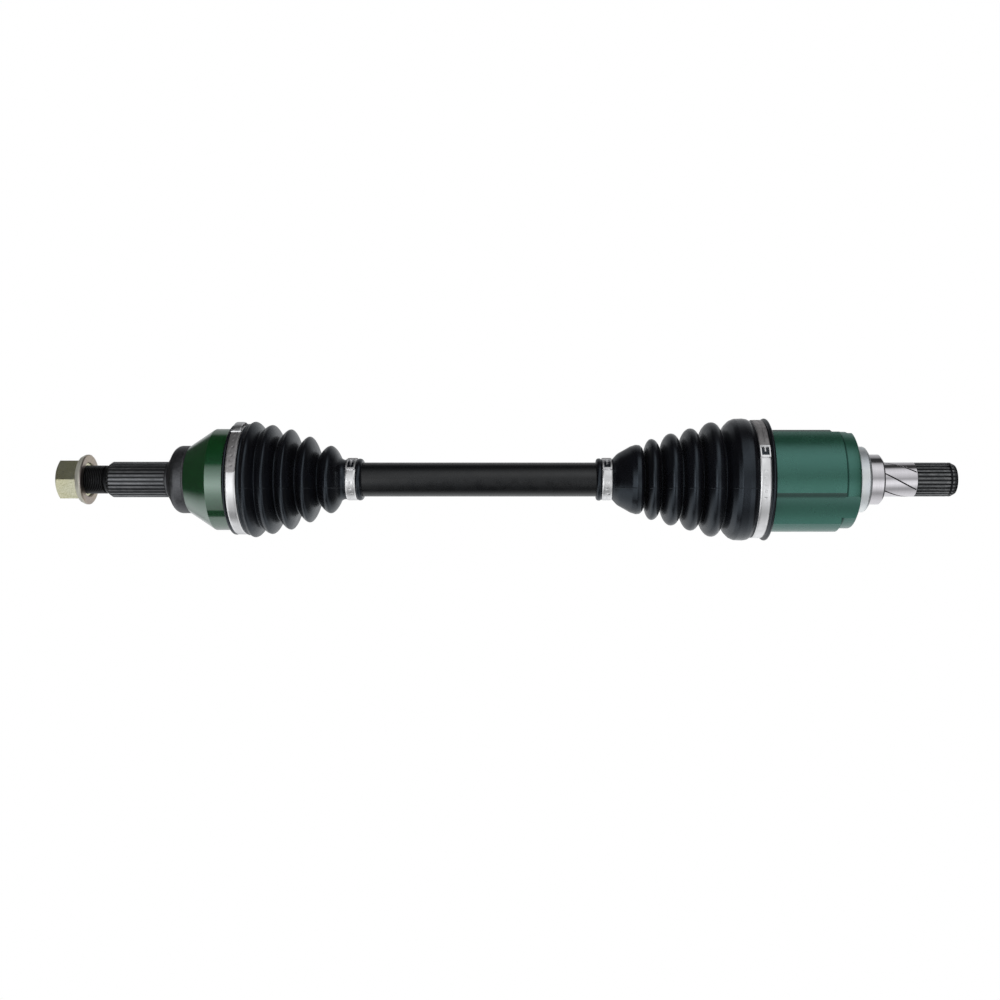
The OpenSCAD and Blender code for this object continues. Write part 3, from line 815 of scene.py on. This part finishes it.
def inner_boot():
    """Boot of the tripod joint: small neck, a cone, four full pleats, a wide drum and the clamp seat."""
    neck = [(-241.0, 16.4), (-240.6, 17.4), (-239.4, 18.0), (-237.4, 18.0), (-236.8, 17.4), (-236.4, 16.8),
            (-227.5, 16.8), (-227.0, 17.5)]
    cone = [(-226.6, 17.9), (-224.2, 20.6), (-222.4, 22.2), (-211.8, 28.2), (-207.4, 29.6), (-204.2, 29.4),
            (-201.6, 27.0)]
    folds = [
        (-200.5, 20.8),
        (-194.0, 34.5),
        (-186.6, 23.4),
        (-177.4, 39.2),
        (-169.9, 29.0),
        (-160.8, 43.5),
        (-153.6, 33.6),
        (-143.4, 48.7),
        (-135.8, 39.4),
    ]
    drum = [(-134.8, 41.5), (-131.6, 46.6), (-128.2, 50.0), (-124.4, 51.6), (-117.6, 51.9), (-114.2, 51.4),
            (-112.0, 50.2), (-110.8, 48.9)]
    seat = [(-110.5, 48.9), (-101.2, 48.9), (-100.9, 49.6), (-100.1, 51.4), (-98.8, 52.0), (-97.6, 51.7),
            (-96.6, 50.0), (-96.2, 47.8)]
    outside_line = neck + cone + pleats(folds, 2.1, 0.62) + drum + seat
    throat = [(-241.0, 14.6), (-224.6, 14.6), (-222.6, 19.8), (-208.6, 27.2), (-205.0, 26.4)]
    mouth = [(-133.0, 42.0), (-127.0, 47.2), (-123.0, 49.2), (-117.2, 49.2), (-116.6, 46.2), (-96.2, 46.2)]
    inside_line = throat + pleats(inside(folds), 2.1, 0.7) + mouth
    outer = rounded(millimetres(outside_line), 0.55 * MM, 0.45 * MM)
    inner = rounded(millimetres(inside_line), 0.5 * MM, 0.8 * MM)
    bending_boot(
        "inner_boot",
        outer,
        inner,
        [
            ("inner_housing_body", -0.115, "thrust_cap_body", -0.145),
            ("thrust_cap_body", -0.145, "needles_3_body", -0.160),
            ("needles_3_body", -0.160, "shaft_body", -0.177),
        ],
    )


outer_boot()
inner_boot()


# ---------- lobed insert under the inboard boot ----------


def lobed_radius(elevation, lobe_radius, valley_radius, valley_distance):
    """Radius of the three-lobed section at an elevation: round lobes, and a shallow arc in each valley."""
    radius = lobe_radius
    for lobe in LOBES:
        away = math.radians((elevation - lobe - 60 + 180) % 360 - 180)
        reach = valley_radius**2 - (valley_distance * math.sin(away)) ** 2
        if math.cos(away) > 0 and reach > 0:
            radius = min(radius, valley_distance * math.cos(away) - math.sqrt(reach))
    return radius


def boot_insert():
    """Rubber ring that fills the tulip's valleys, tapered outboard, with a groove round its inboard face."""
    low, high = ends("inner_boot_insert")
    rim = outside("inner_boot_insert")
    around = 240
    # outline of the ring: share of its length, share of its depth between the lobed seat and the rim
    section = [(0.0, 0.0), (0.25, 1.0), (0.7, 1.0), (0.93, 1.0), (1.0, 0.72), (1.0, 0.55), (0.975, 0.5),
               (0.975, 0.32), (1.0, 0.27), (1.0, 0.1), (0.97, 0.0), (0.5, 0.0)]
    vertices = []
    for k in range(around):
        e = 360 * k / around
        seat = lobed_radius(e, 44.55 * MM, 45.9 * MM, 84.8 * MM)
        for along, share in section:
            depth = share if along > 0 else 0.5
            vertices.append(on_axle(low + (high - low) * along, seat + (rim - seat) * depth, e))
    faces = ring_faces(len(section), around)
    insert = add_object("boot_insert_ring", vertices, faces, MATERIALS["boot_rubber"], 30)
    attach(insert, "inner_housing_body")
    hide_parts("inner_boot_insert")


boot_insert()


# ---------- thrust spring ----------


def thrust_spring():
    """Coil: a round wire on a helix, with flattened end turns."""
    low, high = ends("thrust_spring")
    wire = 0.8 * MM
    radius = outside("thrust_spring") - wire
    turns, per_turn, sides = 7, 36, 10
    count = turns * per_turn
    vertices, faces = [], []
    for i in range(count + 1):
        t = i / count
        eased = min(1.0, max(0.0, (t - 1 / turns) / (1 - 2 / turns)))
        x = low + wire + (high - low - 2 * wire) * (0.06 * t + 0.94 * eased)
        for s in range(sides):
            a = 2 * math.pi * s / sides
            vertices.append(on_axle(x + wire * math.cos(a), radius + wire * math.sin(a), 360 * turns * t))
    for i in range(count):
        for s in range(sides):
            n = (s + 1) % sides
            faces.append((i * sides + s, i * sides + n, (i + 1) * sides + n, (i + 1) * sides + s))
    faces.append(tuple(range(sides))[::-1])
    faces.append(tuple(range(count * sides, (count + 1) * sides)))
    coil = add_object("thrust_coil", vertices, [f[::-1] for f in faces], MATERIALS["ground_steel"], 60)
    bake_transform(coil)
    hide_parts("thrust_spring")


thrust_spring()


# ---------- band clamps ----------

BAND = 0.9 * MM


def bore(node):
    """Smallest radius of a CAD node about the axle."""
    return min(math.hypot(v.co.y, v.co.z) for v in frame["nodes"][node].data.vertices)


class Clamp:
    """A band clamp built up from strips in place of its CAD node, or set a little inboard of it."""

    SLOT_SHARE = 0.16

    def __init__(self, node, inboard=0.0):
        self.node = node
        self.low, self.high = (x + inboard for x in ends(node))
        self.middle, self.half = (self.low + self.high) / 2, (self.high - self.low) / 2
        self.radius = bore(node)
        self.shells = Shells()
        self.dents = []

    def degrees(self, length):
        """Angle that a length spans round the band."""
        return math.degrees(length / self.radius)

    def crown(self, u):
        """Share of the thickness left across the strip, so that both long edges are rounded off."""
        return 1 - 0.45 * abs(u) ** 9

    def dented(self, e, u):
        """Depth pressed into the band at a place, from the list of round dents (e, u, radius, depth)."""
        depth = 0.0
        for de, du, size, deep in self.dents:
            away = math.hypot(math.radians(e - de) * self.radius, (u - du) * self.half) / size
            if away < 1:
                depth += deep * (1 - away**2) ** 0.7
        return depth

    def band(self, steps=180):
        """The ring itself."""
        self.shells.add(
            self.middle,
            lambda e, u: self.half,
            360,
            0,
            lambda e, u: self.radius,
            lambda e, u: self.radius + BAND * self.crown(u) - self.dented(e % 360 if e < 180 else e - 360, u),
            (steps, 12),
        )

    def layer(self, high, low, corner, base=BAND, thickness=BAND, width=1.0, slot=None):
        """A second thickness of band over the ring, its low end rounded off. A slot is (high, low) of a
        pressed line."""
        full = self.half * width

        def half_width(e, u):
            left = min(max(math.radians(e - low) * self.radius, 0.0), corner)
            return full - corner + math.sqrt(corner**2 - (corner - left) ** 2) if left < corner else full

        def outer(e, u):
            groove = 0.0
            if slot and slot[1] < e < slot[0] and abs(u) < self.SLOT_SHARE:
                groove = 0.3 * MM * (1 - (u / self.SLOT_SHARE) ** 2)
            return self.radius + base + thickness * self.crown(u) - groove - self.dented(e, u)

        along = max(12, round(math.radians(high - low) * self.radius / (0.45 * MM)))
        under = self.radius + base * 0.96
        self.shells.add(
            self.middle, half_width, high, low, lambda e, u: under, outer, (along, 18), material=2
        )

    def roll(self, e, radius, base, width=1.03):
        """A folded edge across the band: a half-round ridge."""
        spread = self.degrees(radius)
        self.shells.add(
            self.middle,
            lambda a, u: self.half * width,
            e + spread,
            e - spread,
            lambda a, u: self.radius + base * 0.9,
            lambda a, u: self.radius
            + base
            + (radius * 0.9) * math.sqrt(max(0.0, 1 - ((a - e) / spread) ** 2)) * (1 - 0.3 * abs(u) ** 10)
            + 0.05 * MM,
            (16, 10),
        )

    def bridge(self, high, low, rise, base=BAND, thickness=0.8 * MM, width=0.92):
        """A raised ear: a strip that arches off the band and comes back to it, hollow underneath."""

        def top(e, u):
            t = (e - low) / (high - low)
            return self.radius + base + thickness + rise * (1 - abs(2 * t - 1) ** 3.2)

        self.shells.add(
            self.middle,
            lambda e, u: self.half * width,
            high,
            low,
            lambda e, u: top(e, u) - thickness,
            lambda e, u: top(e, u) - thickness * (1 - self.crown(u)),
            (36, 10),
        )

    def buckle(self, high, low, base, rise, rail=0.3, bar=None, width=1.04):
        """A raised frame with an open window: two rails, two bars, a floor of boot rubber, both the boot seen
        through the window and painted shade in it, and a steel tongue.
        """
        bar = bar or self.degrees(1.6 * MM)
        rail_half = self.half * rail / 2
        floor = self.radius + base * 0.95

        def top(e, u):
            return self.radius + base + rise * (1 - 0.3 * abs(u) ** 8)

        for side in (-1, 1):
            self.shells.add(
                self.middle + side * (self.half * width - rail_half),
                lambda e, u: rail_half,
                high,
                low,
                lambda e, u: floor,
                top,
                (24, 6),
            )
        for a, b in ((high, high - bar), (low + bar, low)):
            self.shells.add(
                self.middle, lambda e, u: self.half * width * 0.98, a, b, lambda e, u: floor, top, (8, 10)
            )
        # Floor of the window: boot rubber, as the boot shows through a real buckle, dark as painted shade in the
        # recess.
        self.shells.add(
            self.middle,
            lambda e, u: self.half * (width - rail),
            high - bar * 0.5,
            low + bar * 0.5,
            lambda e, u: floor,
            lambda e, u: self.radius + base + 0.12 * MM,
            (8, 4),
            material=1,
        )
        self.shells.add(
            self.middle,
            lambda e, u: self.half * 0.22,
            high - bar * 0.6,
            low + (high - low) * 0.45,
            lambda e, u: floor,
            lambda e, u: self.radius + base + rise * 0.75 * (1 - 0.5 * abs(u) ** 4),
            (10, 6),
        )

    def finish(self, body):
        """Makes the mesh object, which rides on a body in place of the CAD node."""
        part = self.shells.object(
            f"{self.node}_band",
            [MATERIALS["clamp_steel"], MATERIALS["boot_rubber"], TAIL_MATERIAL],
            sharp=40,
        )
        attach(part, body)
        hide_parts(self.node)


def outer_large_clamp():
    """Ear clamp of the bell: a folded edge, a raised ear above it and a dented tail below."""
    c = Clamp("outer_boot_clamp_large")
    c.dents = [(e, 0.12, 1.1 * MM, 0.3 * MM) for e in (49, 42, 34, 24, 14)]
    c.dents += [(e, -0.3, 0.7 * MM, 0.2 * MM) for e in (45.5, 29, 19)]
    c.band(360)
    c.layer(57, 7, 2.2 * MM, width=0.98)
    c.dents = []
    c.roll(57.5, 1.5 * MM, 2 * BAND)
    c.bridge(86, 59, 2.2 * MM)
    c.layer(104, 84, 2.2 * MM, width=0.9)
    c.finish("outer_race_body")


def inner_large_clamp():
    """Clamp of the tulip end: a square buckle, a grooved tail above it and small dents below."""
    c = Clamp("inner_boot_clamp_large", 1.4 * MM)
    c.dents = [(e, -0.1, 0.9 * MM, 0.35 * MM) for e in (8, 2, -4.5, -11, -17.5)]
    c.band(720)
    c.dents = [(79, 0.0, 1.3 * MM, 0.7 * MM)]
    c.layer(98, 31, 2.0 * MM, width=0.98, slot=(74, 38), thickness=0.8 * MM)
    c.dents = []
    c.buckle(33, 21, BAND, 1.75 * MM, rail=0.36, width=1.0)
    c.finish("inner_housing_body")


def small_clamp(node, inboard=0.0):
    """Neck clamp: a tail wrapped over the top, a buckle with a window, and dents below it."""
    c = Clamp(node, inboard)
    places = ((-9, 0.1), (-27, -0.05), (-44, 0.2), (-62, -0.15))
    c.dents = [(e, u, 0.85 * MM, 0.4 * MM) for e, u in places]
    c.band(240)
    c.dents = []
    c.layer(122, 62, 1.5 * MM, width=0.97, thickness=0.7 * MM)
    c.buckle(66, 28, BAND, 1.5 * MM, rail=0.4, bar=5, width=1.0)
    c.finish("shaft_body")


outer_large_clamp()
inner_large_clamp()
small_clamp("outer_boot_clamp_small", 1.2 * MM)
small_clamp("inner_boot_clamp_small")


# ---------- stage, light and camera ----------


def add_floor():
    """Pale seamless floor: even white straight to the camera, and a plain pale surface to other rays."""
    vertices = [(x, y, -0.16) for x, y in ((-6, -6), (5.4, -6), (5.4, 6), (-6, 6))]
    material = bpy.data.materials.new("pale_floor")
    material.use_nodes = True
    tree = material.node_tree
    tree.nodes.clear()
    output = tree.nodes.new("ShaderNodeOutputMaterial")
    mix = tree.nodes.new("ShaderNodeMixShader")
    path = tree.nodes.new("ShaderNodeLightPath")
    pale = tree.nodes.new("ShaderNodeBsdfDiffuse")
    pale.inputs["Color"].default_value = (0.8, 0.8, 0.8, 1)
    white = tree.nodes.new("ShaderNodeEmission")
    tree.links.new(path.outputs["Is Camera Ray"], mix.inputs[0])
    tree.links.new(pale.outputs[0], mix.inputs[1])
    tree.links.new(white.outputs[0], mix.inputs[2])
    tree.links.new(mix.outputs[0], output.inputs[0])
    floor = add_object("floor", vertices, [(0, 1, 2, 3)], material)
    floor.visible_glossy = False
    floor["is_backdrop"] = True


# Brightness around the axle, for directions that lean outboard, level ones and those that lean inboard.
# Each stop is an elevation and a brightness.
LEFT_LIGHT = [
    (-180, 0.5), (-130, 0.7), (-96, 0.78), (-91, 0.04), (-76, 0.04), (-72, 0.5), (-50, 0.68), (-34, 1.0),
    (-24, 1.4), (-14, 1.7), (-4, 1.5), (8, 1.05), (20, 0.7), (27, 0.5), (36, 0.04), (60, 0.015),
    (84, 0.015), (118, 0.015), (127, 0.3), (180, 0.45),
]
MIDDLE_LIGHT = [
    (-180, 0.6), (-116, 0.9), (-94, 0.4), (-76, 0.1), (-60, 0.05), (-17, 0.15), (-3, 0.35), (10, 0.55),
    (24, 0.85), (38, 1.0), (52, 0.75), (67, 0.3), (84, 0.08), (104, 0.05), (127, 0.4), (180, 0.7),
]
RIGHT_LIGHT = [
    (-180, 0.9), (-117, 0.95), (-88, 0.72), (-70, 0.46), (-60, 0.5), (-44, 0.88), (-28, 1.2), (-12, 1.05),
    (2, 0.56), (8, 0.5), (14, 0.62), (30, 0.82), (49, 1.0), (66, 0.85), (76, 0.55), (86, 0.06),
    (108, 0.04), (122, 0.38), (150, 0.6), (180, 1.0),
]
BRIGHTEST = 2.0


def add_studio():
    """Surroundings as surfaces see them: soft boxes behind the camera, a dark ceiling and a pale table."""
    world = bpy.data.worlds.new("studio")
    bpy.context.scene.world = world
    world.use_nodes = True
    tree = world.node_tree
    tree.nodes.clear()
    new, link = tree.nodes.new, tree.links.new

    def maths(operation, a, b=0.0):
        node = new("ShaderNodeMath")
        node.operation = operation
        for socket, value in zip(node.inputs, (a, b)):
            if isinstance(value, bpy.types.NodeSocket):
                link(value, socket)
            else:
                socket.default_value = value
        return node.outputs[0]

    def ease(value, start, end, first=0.0, last=1.0):
        node = new("ShaderNodeMapRange")
        node.interpolation_type = "SMOOTHSTEP"
        link(value, node.inputs["Value"])
        for name, number in (("From Min", start), ("From Max", end), ("To Min", first), ("To Max", last)):
            node.inputs[name].default_value = number
        return node.outputs[0]

    def mix(share, a, b):
        node = new("ShaderNodeMix")
        node.data_type = "FLOAT"
        for socket, value in zip((node.inputs[0], node.inputs[2], node.inputs[3]), (share, a, b)):
            if isinstance(value, bpy.types.NodeSocket):
                link(value, socket)
            else:
                socket.default_value = value
        return node.outputs[0]

    place = new("ShaderNodeTexCoord")
    split = new("ShaderNodeSeparateXYZ")
    link(place.outputs["Generated"], split.inputs[0])
    x, y, z = split.outputs
    turn = maths("ADD", maths("DIVIDE", maths("ARCTAN2", z, maths("MULTIPLY", y, -1.0)), 2 * math.pi), 0.5)

    def around(light):
        ramp = new("ShaderNodeValToRGB")
        link(turn, ramp.inputs[0])
        stops = ramp.color_ramp.elements
        while len(stops) < len(light):
            stops.new(0.5)
        for stop, (elevation, brightness) in zip(stops, light):
            stop.position = elevation / 360 + 0.5
        for stop, (elevation, brightness) in zip(stops, light):
            share = brightness / BRIGHTEST
            stop.color = (share, share, share, 1)
        return ramp.outputs[0]

    low = maths("MULTIPLY", z, -1.0)
    table = ease(low, 0.26, 0.56, 0.02, 0.5)
    left = maths("MULTIPLY", around(LEFT_LIGHT), ease(x, -0.36, -0.3, 1.35, 1.0))
    left = mix(ease(x, -0.62, -0.48), table, left)
    right = maths("MULTIPLY", around(RIGHT_LIGHT), ease(x, 0.5, 0.68, 1.0, 0.1))
    shown = mix(ease(x, -0.2, -0.12), left, mix(ease(x, 0.06, 0.14), around(MIDDLE_LIGHT), right))
    seen = new("ShaderNodeBackground")
    seen.inputs["Color"].default_value = (0.97, 0.985, 1.0, 1)
    link(maths("MULTIPLY", shown, BRIGHTEST), seen.inputs["Strength"])
    white = new("ShaderNodeBackground")
    white.inputs["Color"].default_value = (1, 1, 1, 1)
    path = new("ShaderNodeLightPath")
    final = new("ShaderNodeMixShader")
    output = new("ShaderNodeOutputWorld")
    link(path.outputs["Is Camera Ray"], final.inputs[0])
    link(seen.outputs[0], final.inputs[1])
    link(white.outputs[0], final.inputs[2])
    link(final.outputs[0], output.inputs[0])
    bpy.context.scene.view_settings.view_transform = "Standard"


def add_camera():
    """Level camera square to the axle, just to the gearbox side of its middle."""
    distance = 0.97
    view_width = 0.8517
    low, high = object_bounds()
    data = bpy.data.cameras.new("camera")
    data.sensor_width = 36
    data.lens = data.sensor_width * distance / view_width
    data.shift_x = -0.0365
    data.shift_y = -0.0205
    data.clip_start, data.clip_end = 0.05, 50
    camera = bpy.data.objects.new("camera", data)
    camera.location = ((low.x + high.x) / 2 + 0.0242, -distance, 0)
    camera.rotation_euler = (math.radians(90), 0, 0)
    bpy.context.scene.collection.objects.link(camera)
    bpy.context.scene.camera = camera


add_floor()
add_studio()
add_camera()
